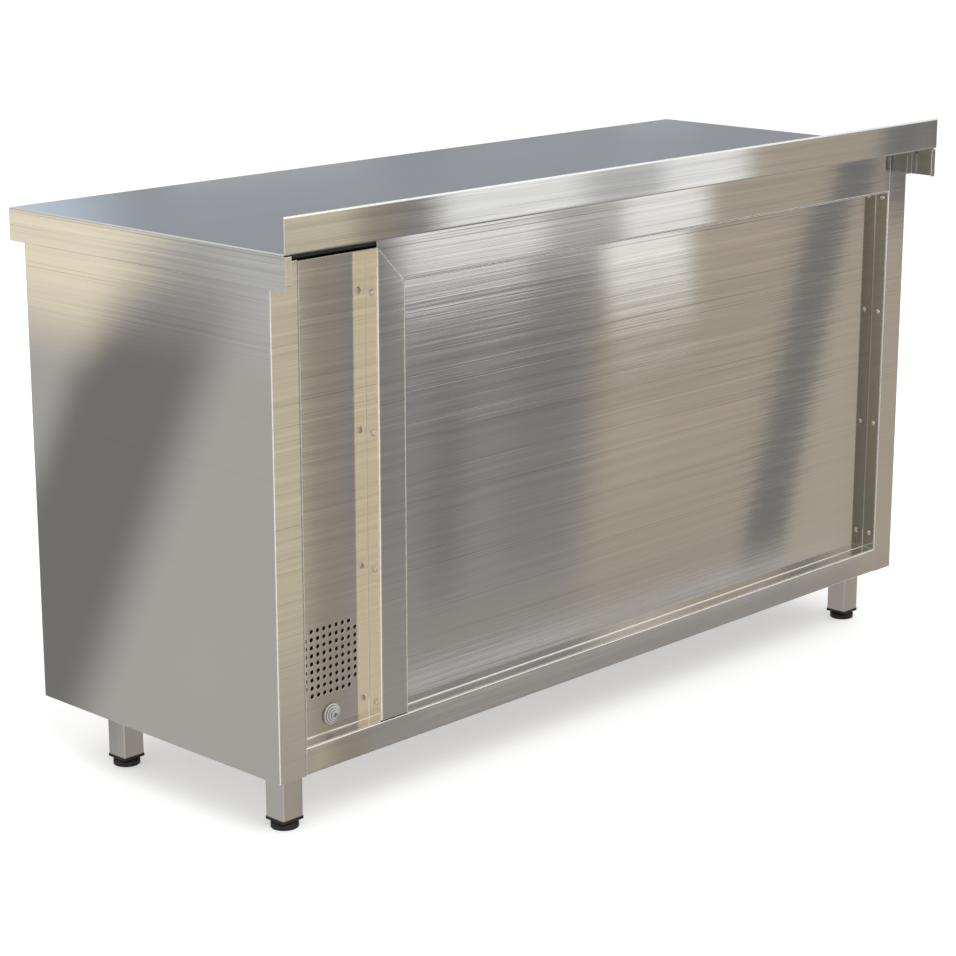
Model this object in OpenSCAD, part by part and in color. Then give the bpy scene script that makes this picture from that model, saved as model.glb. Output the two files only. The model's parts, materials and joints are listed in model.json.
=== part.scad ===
// Heated plate cabinet: a stainless worktop over an insulated, fan-heated chamber
// with two hanging sliding doors in front and a framed, screwed back.
// X runs along the worktop, +Y is the back with the upstand, Z is up, the floor is Z = 0
// and the origin is on the floor under the middle of the worktop.

/* [Worktop] */
// Length of the worktop, along X
top_len = 1500; // [1300:10:1800]
// Depth of the worktop, along Y
top_dep = 600; // [500:5:720]
// Height of the working surface above the floor
top_z = 850; // [720:5:1000]
// Thickness of the worktop sheet
top_t = 1.5; // [1:0.1:2]
// Height of the upstand above the working surface
upstand_h = 50; // [20:5:120]
// Height of the skirts folded down at the front and the ends
skirt_h = 49; // [40:1:60]
// Width of the returns folded in at the skirts' free edges
skirt_return = 12; // [8:1:20]
// Thickness of the board that backs the worktop sheet
board_t = 16; // [10:1:20]

/* [Body] */
// How far the worktop stands out past each side of the body
over_side = 15; // [6:1:30]
// How far the worktop stands out past the front of the body
over_front = 12; // [6:1:20]
// How far the worktop stands out past the back of the body
over_rear = 48; // [20:1:70]
// Height of the body's lower edge above the floor
base_z = 95; // [80:1:130]
// Thickness of the body sheet
sheet = 1.2; // [0.8:0.1:1.5]
// Outer radius of the folds in the body sheet
fold_r = 3; // [2:0.5:4]
// Clearance between pieces that lie against each other
seam = 0.2; // [0.1:0.05:0.3]
// Clearance between pieces that move past each other
run_gap = 0.3; // [0.2:0.05:0.5]

/* [Back frame] */
// Width of each corner post
post_w = 52; // [40:1:60]
// Width of the service recess
service_w = 146; // [130:1:200]
// Width of the stile between the two recesses
stile_w = 53; // [45:1:70]
// Depth of both recesses
recess = 24.5; // [18:0.5:35]
// Drop from the working surface to the top of the main recess
top_rail_drop = 74; // [65:1:90]
// Drop from the working surface to the top of the service recess
service_drop = 21.5; // [20:0.5:35]
// Height of the bottom rails
rail_h = 41; // [35:1:60]
// Gap between the stile's foot and the bottom rail
stile_gap = 2; // [1:0.5:3]

/* [Vent and cable entry] */
// Holes along each side of the vent grid
vent_n = 9; // [5:1:9]
// Distance between neighbouring vent holes
vent_pitch = 12; // [10:0.5:13]
// Radius of a vent hole
vent_r = 3.5; // [2:0.25:4]
// Distance from the corner post to the middle of the vent and the cable entry
vent_x_in = 70; // [60:1:80]
// Height of the vent's middle above the bottom rail
vent_up = 110; // [90:1:300]
// Height of the cable entry above the bottom rail
gland_up = 27; // [22:1:35]
// Radius of the grommet's outer flange
gland_r = 16.5; // [14:0.5:18]
// Radius of the hole for the supply cable
cable_r = 3; // [2.5:0.5:5]
// Steps of the grommet's cone
gland_steps = 5; // [3:1:6]
// Height of one step
gland_step_h = 2; // [1.5:0.1:3]

/* [Screws] */
// Drop from the working surface to the highest panel screw
screw_drop = 85; // [80:1:95]
// Screws down each panel edge
screw_n = 4; // [3:1:5]
// Height of the lowest panel screw above the bottom rail
screw_up = 29; // [20:1:60]
// Distance from the back face to the screws
screw_in = 11; // [8:0.5:13]
// Radius of a screw head
screw_head_r = 4.6; // [3:0.1:5]

/* [Legs and feet] */
// Width of the square leg tube
leg_w = 38; // [30:1:40]
// Wall of the leg tube
leg_t = 1.5; // [1:0.1:2]
// Distance from the body's side to the legs
leg_in_side = 40.5; // [30:0.5:60]
// Distance from the body's back to the rear legs
leg_in_rear = 40; // [30:0.5:60]
// Distance from the body's front to the front legs
leg_in_front = 102; // [70:1:130]
// Height of the foot's pad
pad_h = 10; // [8:0.5:14]
// Radius of the foot's pad
pad_r = 20.5; // [16:0.5:22]
// Height of the neck that shows under the plug when the foot is screwed home
neck_h = 2; // [1:0.5:4]
// Height of the plug's rim under the leg tube
plug_rim_h = 4; // [3:0.5:6]
// Radius of the foot's threaded stud
stud_r = 5; // [4:0.5:6]
// How far a foot can be screwed out
foot_travel = 25; // [10:1:30]

/* [Chamber] */
// Thickness of the liner sheets
liner_t = 1; // [0.8:0.1:1.2]
// Thickness of the insulated side wall
wall_w = 30; // [20:1:40]
// Height of the chamber floor above the bottom rail
floor_up = 4; // [4:0.5:8]
// Thickness of the insulated back wall
back_w = 26; // [20:1:40]
// Height of the shelf surface above the chamber floor
shelf_up = 315; // [300:1:340]
// Height of the shelf's folded edge
shelf_edge = 30; // [20:1:40]

/* [Doors] */
// Thickness of a door
door_t = 22; // [20:0.5:24]
// Thickness of the door skins
skin_t = 1; // [0.8:0.1:1.2]
// Clearance between the two doors
lane_gap = 4; // [3:0.5:6]
// Clearance between the front door and the frame
face_gap = 1.8; // [1.5:0.1:3]
// Clearance between the rear door and the chamber
chamber_gap = 5; // [4:0.5:10]
// Clearance between the doors and the bottom track
foot_gap = 2.5; // [2:0.5:4]
// How far the doors reach up behind the front fascia
door_rise = 17; // [12:1:20]
// How far each door reaches behind the frame at its closed end
door_tuck = 17; // [10:1:25]
// Width over which the closed doors overlap
door_lap = 50; // [40:1:80]
// Drop from the working surface to the lower edge of the front fascia
fascia_drop = 85; // [80:1:95]
// Width of the handle recess
handle_w = 32; // [26:1:40]
// Height of the handle recess
handle_h = 130; // [100:5:180]
// Depth of the handle recess
handle_d = 15; // [10:0.5:16]
// Distance from a door's closed edge to its handle's middle
handle_in = 62; // [50:1:80]

/* [Running gear] */
// Radius of a door roller
roller_r = 11; // [9:0.5:12]
// Width of a door roller
roller_w = 6; // [5:0.5:7]
// Height of the rollers' ledge above the doors
ledge_up = 11.7; // [10:0.1:14]
// Radius of a roller's axle
axle_r = 2.5; // [2:0.25:3]
// Radial clearance of a shaft that turns in its bore
bore_gap = 0.06; // [0.03:0.01:0.09]
// Distance from a door's edges to its hangers
hanger_in = 80; // [60:5:120]
// Height of the guide rib on the bottom track
rib_h = 9; // [7:0.5:11]

/* [Controls] */
// Depth of the control panel's recess
control_recess = 12; // [10:0.5:16]
// Drop from the working surface to the thermostat's axis
knob_drop = 150; // [140:1:180]
// Radius of the thermostat knob
knob_r = 21; // [16:0.5:26]
// Height of the thermostat knob
knob_h = 20; // [16:0.5:20]
// Distance down from the thermostat to the switch
switch_down = 75; // [65:1:90]
// Distance down from the switch to the pilot lamp
lamp_down = 50; // [40:1:70]

/* [Fan heater] */
// Height of the fan's axis above the chamber floor
fan_up = 140; // [135:1:140]
// Distance from the chamber's middle depth to the fan's axis, along Y
fan_y = 0; // [-20:1:20]
// Radius of the impeller
impeller_r = 68; // [50:1:75]
// Impeller blades
blade_n = 14; // [8:1:18]
// Radius of the heater's ring
ring_r = 90; // [84:1:95]
// Radius of the heater's tube
ring_tube_r = 4; // [3:0.5:4.5]
// Side length of the square fan cover
cover_w = 250; // [230:5:260]
// Depth of the fan cover
cover_d = 44; // [40:1:50]

/* [Hidden] */
$fn = 64;
e = 0.01;

// Limits of the body
body_x = top_len / 2 - over_side;
front_y = -top_dep / 2 + over_front;
rear_y = top_dep / 2 - over_rear;
board_z = top_z - top_t - seam;
body_top = board_z - board_t - seam;
rail_z = base_z + rail_h;

// Back frame, measured from the corner post at +X
service_x1 = body_x - post_w;
service_x0 = service_x1 - service_w;
stile_x0 = service_x0 - stile_w;
main_x0 = -body_x + post_w;
main_z1 = top_z - top_rail_drop;
service_z1 = top_z - service_drop;
back_y = rear_y - recess;
panel_y = rear_y - 1;

// Vent, cable entry and panel screws
vent_x = service_x1 - vent_x_in;
vent_z = rail_z + vent_up;
gland_z = rail_z + gland_up;
gland_neck_r = gland_r - 5;
screw_y = rear_y - screw_in;
screw_z0 = rail_z + screw_up;
screw_pitch = (top_z - screw_drop - screw_z0) / (screw_n - 1);
screw_z = [for (i = [0 : screw_n - 1]) screw_z0 + i * screw_pitch];

// Chamber
liner_x0 = -body_x + wall_w;
part_x = service_x0 - stile_w / 2 - liner_t / 2;
liner_y1 = back_y - sheet - back_w;
floor_z = rail_z + floor_up;
roof_z = main_z1;
shelf_z = floor_z + shelf_up;
panel_top = base_z + 2 * sheet + seam;

// Doors: the left one runs in the front lane, the right one behind it
open_x0 = main_x0;
open_x1 = stile_x0;
door_w = (open_x1 - open_x0) / 2 + door_tuck + door_lap / 2;
left_door_x = open_x0 - door_tuck;
right_door_x = open_x1 + door_tuck - door_w;
front_lane_y = front_y + sheet + face_gap;
rear_lane_y = front_lane_y + door_t + lane_gap;
lane_y = rear_lane_y + door_t + chamber_gap;
strip_t = 1.5;
rib_foot_z = rail_z + seam + strip_t;
door_z0 = rib_foot_z + foot_gap;
fascia_z = top_z - fascia_drop;
door_z1 = fascia_z + door_rise;

// Running gear
track_t = 2;
flange_z = body_top - sheet;
ledge_z = door_z1 + ledge_up;
axle_z = ledge_z + roller_r + run_gap;
roller_dy = 4;
lip_dy = roller_dy + roller_w + 1;
plate_dy = lip_dy + track_t + 1.5;
plate_t = 2.5;
rib_dy = door_t / 2;
slot_w = 10;

// Controls
control_x = (service_x0 + service_x1) / 2;
control_y = front_y + control_recess;
knob_z = top_z - knob_drop;
switch_z = knob_z - switch_down;
lamp_z = switch_z - lamp_down;
rocker_w = 19;
rocker_h = 26;

// Fan heater
fan_cy = (lane_y + liner_y1) / 2 + fan_y;
fan_cz = floor_z + fan_up;
cover_x = part_x - cover_d;
shaft_r = 4;
motor_r = 38;
sleeve_r = ring_tube_r + 0.6;
ring_joint = 8;
ring_tails = [-8, -24];

// A point of the heater's ring, at an angle from straight down
function ring_point(a) = [ring_r * sin(a), -ring_r * cos(a)];

steel = [0.78, 0.77, 0.74];
bright = [0.86, 0.86, 0.85];
black = [0.08, 0.08, 0.08];

// A block between pairs of limits
module block(x, y, z) {
    translate([x[0], y[0], z[0]]) cube([x[1] - x[0], y[1] - y[0], z[1] - z[0]]);
}

// A profile drawn in X and Y, extruded up
module along_z(z) {
    translate([0, 0, z[0]]) linear_extrude(z[1] - z[0]) children();
}

// A profile drawn in Y and Z, extruded along X
module along_x(x) {
    translate([x[0], 0, 0]) rotate([90, 0, 90]) linear_extrude(x[1] - x[0]) children();
}

// A profile drawn in X and Z, extruded along Y
module along_y(y) {
    translate([0, y[1], 0]) rotate([90, 0, 0]) linear_extrude(y[1] - y[0]) children();
}

// Round bars along X and Y
module rod_x(r, x, y, z) {
    translate([x[0], y, z]) rotate([0, 90, 0]) cylinder(r = r, h = x[1] - x[0]);
}
module rod_y(r, x, y, z) {
    translate([x, y[1], z]) rotate([90, 0, 0]) cylinder(r = r, h = y[1] - y[0]);
}

function unit(v) = v / norm(v);
function turn(a, b) = a[0] * b[1] - a[1] * b[0];

// The section of a folded sheet. The path runs along one face, with square corners,
// and the metal lies to its left. Each fold has the outer radius r.
module folded(path, t, r = fold_r) {
    n = len(path);
    dirs = [for (i = [0 : n - 2]) unit(path[i + 1] - path[i])];
    turns = [for (i = [0 : n - 3]) turn(dirs[i], dirs[i + 1])];
    trims = concat([0], [for (s = turns) s > 0 ? r : r - t], [0]);
    for (i = [0 : n - 2])
        translate(path[i] + dirs[i] * trims[i])
            rotate(atan2(dirs[i][1], dirs[i][0]))
                square([norm(path[i + 1] - path[i]) - trims[i] - trims[i + 1], t]);
    for (i = [0 : n - 3])
        fold_arc(path[i + 1] + (dirs[i + 1] - dirs[i]) * trims[i + 1], dirs[i], turns[i], t, r);
}

module fold_arc(centre, dir, side, t, r) {
    translate(centre)
        rotate(atan2(dir[1], dir[0]) + (side > 0 ? -90 : 0))
            intersection() {
                difference() {
                    circle(r);
                    circle(r - t);
                }
                square(r + 1);
            }
}

// A rectangle whose two lower corners are round
module soft_edge(w, d, r) {
    difference() {
        square([w, d]);
        for (side = [0, 1])
            translate([side * w, 0]) mirror([side, 0]) difference() {
                translate([-1, -1]) square(r + 1);
                translate([r, r]) circle(r);
            }
    }
}

module pan_body(w, h, d, r) {
    intersection() {
        along_x([0, w]) soft_edge(h, d, r);
        along_y([0, h]) soft_edge(w, d, r);
    }
}

// A sheet pan, face down on Z = 0, with its four edges folded up to the height d
module pan(w, h, d, t, r = fold_r) {
    difference() {
        pan_body(w, h, d, r);
        translate([t, t, t]) pan_body(w - 2 * t, h - 2 * t, d, r - t);
    }
}

// Stands a pan up with its face at the given point, open towards +Y or -Y
module open_rear(at) {
    translate(at) mirror([0, 1, 0]) rotate([90, 0, 0]) children();
}
module open_front(at) {
    translate(at) rotate([90, 0, 0]) children();
}

// ---- Worktop ----

// Behind the end skirts, tabs close the gap between skirt and body at the back
module worktop() {
    hem_y = top_dep / 2 - 4;
    tab_drop = 7;
    color(bright) {
        difference() {
            translate([-top_len / 2, -top_dep / 2, top_z]) mirror([0, 0, 1])
                pan(top_len, top_dep + 40, skirt_h, top_t);
            block([-top_len, top_len], [hem_y, top_dep], [0, top_z + 1]);
        }
        along_x([-top_len / 2, top_len / 2])
            folded([[top_dep / 2 - top_t, top_z + upstand_h], [top_dep / 2 - top_t, top_z],
                [hem_y - e, top_z]], top_t);
        for (side = [0, 1]) mirror([side, 0, 0])
            along_z([top_z - skirt_h, top_z - 2 * top_t])
                folded([[top_len / 2, hem_y - e], [top_len / 2, top_dep / 2],
                    [top_len / 2 - skirt_return, top_dep / 2]], top_t);
        for (side = [0, 1]) mirror([side, 0, 0])
            block([body_x + run_gap, top_len / 2 - top_t + e], [rear_y - sheet, rear_y],
                [top_z - skirt_h, top_z - tab_drop]);
        along_x([-top_len / 2 + skirt_return, top_len / 2 - skirt_return])
            folded([[-top_dep / 2, top_z - skirt_h + 8], [-top_dep / 2, top_z - skirt_h],
                [-top_dep / 2 + over_front - 1, top_z - skirt_h]], top_t);
    }
}

module worktop_board() {
    color([0.12, 0.11, 0.1])
        block([-body_x + 1, body_x - 1], [front_y + 1, rear_y - sheet - seam],
            [board_z - board_t, board_z]);
}

// ---- Outer body ----

// Both side panels are drawn at +X. Their inner flanges stop above the bottom panel.
module side_panel(path, front_flange) {
    difference() {
        along_z([base_z, body_top]) folded(path, sheet);
        for (y = [[back_y - 1, rear_y - fold_r], [front_y + fold_r, front_flange + 1]])
            block([service_x1 - 1, service_x1 + fold_r], y, [base_z - 1, panel_top + seam]);
    }
}

// The left panel's front edge is open to the door lanes, and its back flange runs up
// over the board's edge
module left_side_panel() {
    color(steel) mirror([1, 0, 0]) {
        side_panel([[service_x1, front_y], [body_x, front_y], [body_x, rear_y],
            [service_x1, rear_y], [service_x1, back_y]], front_y + fold_r);
        block([service_x1 + fold_r, body_x - fold_r], [rear_y - sheet, rear_y],
            [body_top - e, board_z]);
    }
}

// The right panel's back flange is notched under the worktop
module right_side_panel() {
    flange_y = control_y + 12;
    color(steel) difference() {
        side_panel([[service_x1, flange_y], [service_x1, front_y], [body_x, front_y],
            [body_x, rear_y], [service_x1, rear_y], [service_x1, back_y]], flange_y);
        block([service_x1 - 1, body_x - 12], [back_y - 1, rear_y + 1],
            [body_top - 2, body_top + 1]);
    }
}

// Room for the folded edge of a corner post, which a rail's face laps to hide the fold
module post_room(x, dir) {
    translate([x, 0, 0]) mirror([dir > 0 ? 0 : 1, 0, 0]) {
        block([-seam, fold_r + 1], [0, rear_y - sheet], [0, top_z]);
        translate([fold_r, rear_y - fold_r, 0]) cylinder(r = fold_r + seam, h = top_z);
    }
}

// The top rail and the stile meet in a mitre from the main recess's corner
module rear_top_rail() {
    mitre_z = main_z1 + stile_w;
    color(steel) difference() {
        along_x([main_x0 - fold_r, service_x0])
            folded([[back_y, main_z1], [rear_y, main_z1], [rear_y, board_z]], sheet);
        post_room(main_x0, -1);
        along_y([back_y - 1, rear_y + 1])
            polygon([[stile_x0, 0], [stile_x0, main_z1 + seam],
                [service_x0 + 1, mitre_z + 1 + seam], [service_x0 + 1, 0]]);
    }
}

module rear_stile() {
    foot_z = rail_z + stile_gap;
    mitre_z = main_z1 + stile_w;
    color(steel) difference() {
        along_z([foot_z, mitre_z])
            folded([[service_x0, back_y], [service_x0, rear_y], [stile_x0, rear_y],
                [stile_x0, back_y]], sheet);
        along_y([back_y - 1, rear_y + 1])
            polygon([[stile_x0 - 1, main_z1 - 1 - seam], [service_x0 + 1, mitre_z + 1 - seam],
                [stile_x0 - 1, mitre_z + 2]]);
    }
}

module rear_bottom_rail() {
    color(steel) difference() {
        along_x([main_x0 - fold_r, service_x1 + fold_r])
            folded([[rear_y - 25, base_z], [rear_y, base_z], [rear_y, rail_z],
                [back_y, rail_z]], sheet);
        post_room(main_x0, -1);
        post_room(service_x1, 1);
    }
}

module main_rear_panel() {
    x = [main_x0 + seam, stile_x0 - seam];
    z = [rail_z + seam, main_z1 - seam];
    color(steel)
        open_rear([x[0], back_y - sheet, z[0]])
            pan(x[1] - x[0], z[1] - z[0], panel_y - back_y + sheet, sheet);
}

// The vent grid leaves out its four corner holes
module service_rear_panel() {
    x = [service_x0 + seam, service_x1 - seam];
    z = [rail_z + seam, service_z1];
    half = (vent_n - 1) / 2;
    color(steel) difference() {
        open_rear([x[0], back_y - sheet, z[0]])
            pan(x[1] - x[0], z[1] - z[0], panel_y - back_y + sheet, sheet);
        for (i = [-half : half], j = [-half : half])
            if (abs(i) + abs(j) < 2 * half)
                rod_y(vent_r, vent_x + i * vent_pitch, [back_y - 3, back_y + 1],
                    vent_z + j * vent_pitch);
        rod_y(gland_neck_r + seam, vent_x, [back_y - 3, back_y + 1], gland_z);
    }
}

// A stepped rubber cone, turned about the cable's axis
module cable_grommet() {
    tip = gland_steps * gland_step_h;
    lip = 1;
    shrink = (gland_r - cable_r - lip) / (gland_steps - 1);
    steps = [for (i = [0 : gland_steps - 1], k = [0, 1])
        [gland_r - i * shrink, seam + (i + k) * gland_step_h]];
    color([0.85, 0.84, 0.8])
        translate([vent_x, back_y, gland_z]) rotate([-90, 0, 0]) rotate_extrude()
            polygon(concat([[cable_r, -sheet - 3], [gland_neck_r + 1.5, -sheet - 3],
                [gland_neck_r + 1.5, -sheet - seam], [gland_neck_r, -sheet - seam],
                [gland_neck_r, seam]], steps, [[cable_r, seam + tip]]));
}

// Heads of the screws that hold the panels' side edges to the posts and the stile
module rear_panel_screws() {
    edge = sheet + 2 * seam;
    color(bright)
        for (z = screw_z) {
            for (x = [main_x0 + edge, service_x0 + edge]) rear_screw(x, z, 1);
            for (x = [stile_x0 - edge, service_x1 - edge]) rear_screw(x, z, -1);
        }
}

// One head, standing off the panel's edge on the side that dir points to
module rear_screw(x, z, dir) {
    translate([x, screw_y, z]) rotate([0, dir * 90, 0]) rotate_extrude()
        polygon([[0, 0], [screw_head_r, 0], [screw_head_r, 1.1], [screw_head_r - 1.4, 2.4],
            [0, 2.7]]);
}

module bottom_panel() {
    inset = fold_r + seam;
    color(steel)
        block([-body_x + inset, body_x - inset], [front_y + inset, rear_y - inset],
            [base_z + sheet + seam, base_z + 2 * sheet + seam]);
}

// ---- Legs and feet ----

leg_z = pad_h + neck_h + plug_rim_h;
leg_x = body_x - leg_in_side - leg_w / 2;
leg_rear_y = rear_y - leg_in_rear - leg_w / 2;
leg_front_y = front_y + leg_in_front + leg_w / 2;

// A square tube with a plate on top that carries the bottom panel
module leg(x, y) {
    plate = 5;
    top = base_z + sheet;
    color(steel) translate([x, y, 0]) {
        difference() {
            tube_section(leg_w, [leg_z, top - 3]);
            tube_section(leg_w - 2 * leg_t, [leg_z - 1, top - 2]);
        }
        block([-leg_w / 2 - plate, leg_w / 2 + plate], [-leg_w / 2 - plate, leg_w / 2 + plate],
            [top - 3, top]);
    }
}

module tube_section(w, z) {
    r = 2;
    along_z(z) difference() {
        square(w, center = true);
        for (a = [0 : 90 : 270]) rotate(a) translate([w / 2 - r, w / 2 - r]) difference() {
            square(r + 1);
            circle(r);
        }
    }
}

module front_left_leg() { leg(-leg_x, leg_front_y); }
module front_right_leg() { leg(leg_x, leg_front_y); }
module rear_left_leg() { leg(-leg_x, leg_rear_y); }
module rear_right_leg() { leg(leg_x, leg_rear_y); }

// Ribbed plastic plugs with a bore for the foot's stud
module leg_plugs() {
    inner = leg_w - 2 * leg_t - 2 * seam;
    color(black)
        for (x = [-leg_x, leg_x], y = [leg_front_y, leg_rear_y]) translate([x, y, 0])
            difference() {
                union() {
                    tube_section(leg_w + 1.6, [leg_z - plug_rim_h, leg_z - seam]);
                    tube_section(inner - 3, [leg_z - 1, leg_z + 22]);
                    for (z = [2, 9, 16]) tube_section(inner, [leg_z + z, leg_z + z + 3]);
                }
                translate([0, 0, leg_z - plug_rim_h - 1])
                    cylinder(r = stud_r + bore_gap, h = plug_rim_h + 30);
            }
}

// A pad with a chamfered top edge, a hexagonal neck and a stud
module foot(x, y) {
    stud_top = leg_z + 22 + foot_travel;
    color(black) translate([x, y, 0]) {
        rotate_extrude() polygon([[0, 0], [pad_r - 0.8, 0], [pad_r, 0.8], [pad_r, pad_h - 2.5],
            [pad_r - 2.5, pad_h], [0, pad_h]]);
        translate([0, 0, pad_h - 1]) cylinder(r = 9, h = neck_h + 1 - run_gap, $fn = 6);
    }
    color(bright) translate([x, y, pad_h - 2]) cylinder(r = stud_r, h = stud_top - pad_h + 2);
}

module front_left_foot() { foot(-leg_x, leg_front_y); }
module front_right_foot() { foot(leg_x, leg_front_y); }
module rear_left_foot() { foot(-leg_x, leg_rear_y); }
module rear_right_foot() { foot(leg_x, leg_rear_y); }

// ---- Chamber ----

liner_z = [panel_top + seam, body_top - seam];

module left_liner() {
    color(bright) along_z(liner_z)
        folded([[-body_x + sheet + seam, lane_y], [liner_x0 + liner_t, lane_y],
            [liner_x0 + liner_t, back_y - sheet - seam]], liner_t);
}

// Carries the fan: a hole for its shaft and two for the heater's ends
module partition_liner() {
    color(bright) difference() {
        along_z(liner_z)
            folded([[part_x, back_y - sheet - seam], [part_x, lane_y],
                [service_x0 - sheet - 2 * seam, lane_y]], liner_t);
        rod_x(shaft_r + 4, [part_x - 2, part_x + 3], fan_cy, fan_cz);
        for (a = ring_tails)
            rod_x(sleeve_r + run_gap, [part_x - 2, part_x + 3], fan_cy + ring_point(a)[0],
                fan_cz + ring_point(a)[1]);
    }
}

chamber_x = [liner_x0 + liner_t + seam, part_x - seam];

module back_liner() {
    color(bright)
        block(chamber_x, [liner_y1, liner_y1 + liner_t], [floor_z + seam, roof_z - seam]);
}

module top_liner() {
    color(bright) along_x(chamber_x)
        folded([[lane_y, liner_z[1]], [lane_y, roof_z], [liner_y1 + liner_t, roof_z]], liner_t);
}

module floor_liner() {
    front = lane_y + sheet;
    color(bright) along_x(chamber_x)
        folded([[liner_y1 + liner_t, floor_z], [front, floor_z], [front, liner_z[0]]], liner_t);
}

// Slabs of mineral wool behind each liner
module insulation() {
    pack = 0.4;
    y = [lane_y + fold_r, back_y - sheet - pack];
    side_z = [liner_z[0] + pack, liner_z[1] - pack];
    inner_x = [chamber_x[0] + pack, chamber_x[1] - pack];
    inner_y = [lane_y + sheet + fold_r, liner_y1 + liner_t];
    color([0.75, 0.68, 0.4]) {
        block([-body_x + sheet + pack, liner_x0 - pack], y, side_z);
        difference() {
            block([part_x + liner_t + pack, service_x0 - sheet - pack], y, side_z);
            rod_x(motor_r + 12, [part_x, service_x0], fan_cy, fan_cz);
            for (a = ring_tails)
                rod_x(sleeve_r + 3, [part_x, service_x0], fan_cy + ring_point(a)[0],
                    fan_cz + ring_point(a)[1]);
        }
        block(inner_x, [liner_y1 + liner_t + pack, y[1]], side_z);
        block(inner_x, inner_y, [roof_z + liner_t + pack, side_z[1]]);
        block(inner_x, inner_y, [side_z[0], floor_z - liner_t - pack]);
    }
}

shelf_x = [chamber_x[0] + 1, chamber_x[1] - 1];
shelf_y = [lane_y + 3, liner_y1 - 3];

// A folded tray, face up, with a row of air slots along its back
module shelf() {
    slot_n = 12;
    slot_l = 60;
    slot_pitch = (shelf_x[1] - shelf_x[0]) / slot_n;
    color(bright) difference() {
        translate([shelf_x[0], shelf_y[0], shelf_z]) mirror([0, 0, 1])
            pan(shelf_x[1] - shelf_x[0], shelf_y[1] - shelf_y[0], shelf_edge, liner_t, 2);
        for (i = [0 : slot_n - 1])
            translate([shelf_x[0] + (i + 0.5) * slot_pitch, shelf_y[1] - 24, shelf_z - 3])
                slot(slot_l, 8, 6);
    }
}

// A slot with round ends, along X, centred on the origin
module slot(l, w, h) {
    block([-(l - w) / 2, (l - w) / 2], [-w / 2, w / 2], [0, h]);
    for (side = [-1, 1]) translate([side * (l - w) / 2, 0, 0]) cylinder(r = w / 2, h = h);
}

// Angle brackets on the chamber's side walls
module shelf_support() {
    ledge = shelf_z - shelf_edge - seam;
    along_y([shelf_y[0] + 5, shelf_y[1] - 5])
        folded([[chamber_x[0] + 24, ledge], [chamber_x[0], ledge], [chamber_x[0], ledge - 18]],
            1.5);
}
module left_shelf_support() { color(bright) shelf_support(); }
module right_shelf_support() {
    color(bright) translate([chamber_x[0] + chamber_x[1], 0, 0]) mirror([1, 0, 0]) shelf_support();
}

// ---- Front frame ----

module front_top_rail() {
    color(steel) along_x([open_x0 + seam, service_x1 - seam])
        folded([[lane_y - seam, body_top], [front_y, body_top], [front_y, fascia_z]], sheet);
}

module front_bottom_rail() {
    color(steel) along_x([open_x0 + seam, service_x1 - seam])
        folded([[lane_y - seam, rail_z], [front_y, rail_z], [front_y, base_z],
            [front_y + 25, base_z]], sheet);
}

module front_door_post() {
    color(steel) along_z([rail_z + seam, fascia_z - seam])
        folded([[open_x1, front_y], [service_x0, front_y], [service_x0, lane_y - seam]], sheet);
}

module control_panel() {
    x = [service_x0 + seam, service_x1 - seam];
    z = [rail_z + seam, fascia_z - seam];
    color(steel) difference() {
        open_front([x[0], control_y + sheet, z[0]])
            pan(x[1] - x[0], z[1] - z[0], control_recess + sheet - 1, sheet);
        rod_y(5, control_x, [control_y - 1, control_y + 3], knob_z);
        block([control_x - rocker_w / 2 - 2, control_x + rocker_w / 2 + 2],
            [control_y - 1, control_y + 3],
            [switch_z - rocker_h / 2 - 2, switch_z + rocker_h / 2 + 2]);
        rod_y(6 + seam, control_x, [control_y - 1, control_y + 3], lamp_z);
    }
}

// ---- Tracks ----

// Two lanes, each with a web, a ledge for the rollers and a lip that keeps them on it
module top_track() {
    x = [liner_x0, service_x0 - sheet - 2 * seam];
    top = flange_z - seam;
    color(bright) {
        block(x, [front_lane_y + 1, lane_y - 2], [top - track_t, top]);
        for (lane = [front_lane_y, rear_lane_y]) {
            web = lane + roller_dy - 1 - track_t;
            block(x, [web, web + track_t], [ledge_z - track_t, top]);
            block(x, [web, lane + lip_dy + track_t], [ledge_z - track_t, ledge_z]);
            block(x, [lane + lip_dy, lane + lip_dy + track_t], [ledge_z - track_t, ledge_z + 2]);
        }
    }
}

// A flat strip with one guide rib under each door
module bottom_track() {
    x = [open_x0 + 1, service_x0 - sheet - 2 * seam];
    color(bright) {
        block(x, [front_y + sheet + 1, lane_y - 1], [rail_z + seam, rib_foot_z]);
        for (lane = [front_lane_y, rear_lane_y])
            block(x, [lane + rib_dy - 1, lane + rib_dy + 1], [rail_z + seam, rib_foot_z + rib_h]);
    }
}

// ---- Doors, drawn at the lane and the lower left corner that they are given ----

// The outer skin: a pan with a window for the handle and a slot along its foot
module door_skin(x, lane, handle_x) {
    hz = handle_z();
    color(steel) difference() {
        open_rear([x, lane, door_z0])
            pan(door_w, door_z1 - door_z0, door_t - skin_t - seam, skin_t, 2);
        block([x - 1, x + door_w + 1], [lane + rib_dy - slot_w / 2, lane + rib_dy + slot_w / 2],
            [door_z0 - 1, rib_foot_z + rib_h + 2]);
        block([handle_x - handle_w / 2, handle_x + handle_w / 2], [lane - 1, lane + 3],
            [hz - handle_h / 2, hz + handle_h / 2]);
    }
}

function handle_z() = (door_z0 + door_z1) / 2;

// The inner skin: a sheet that closes the pan
module door_back(x, lane) {
    color(bright)
        block([x + 1.5, x + door_w - 1.5], [lane + door_t - skin_t, lane + door_t],
            [door_z0, door_z1]);
}

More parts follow.
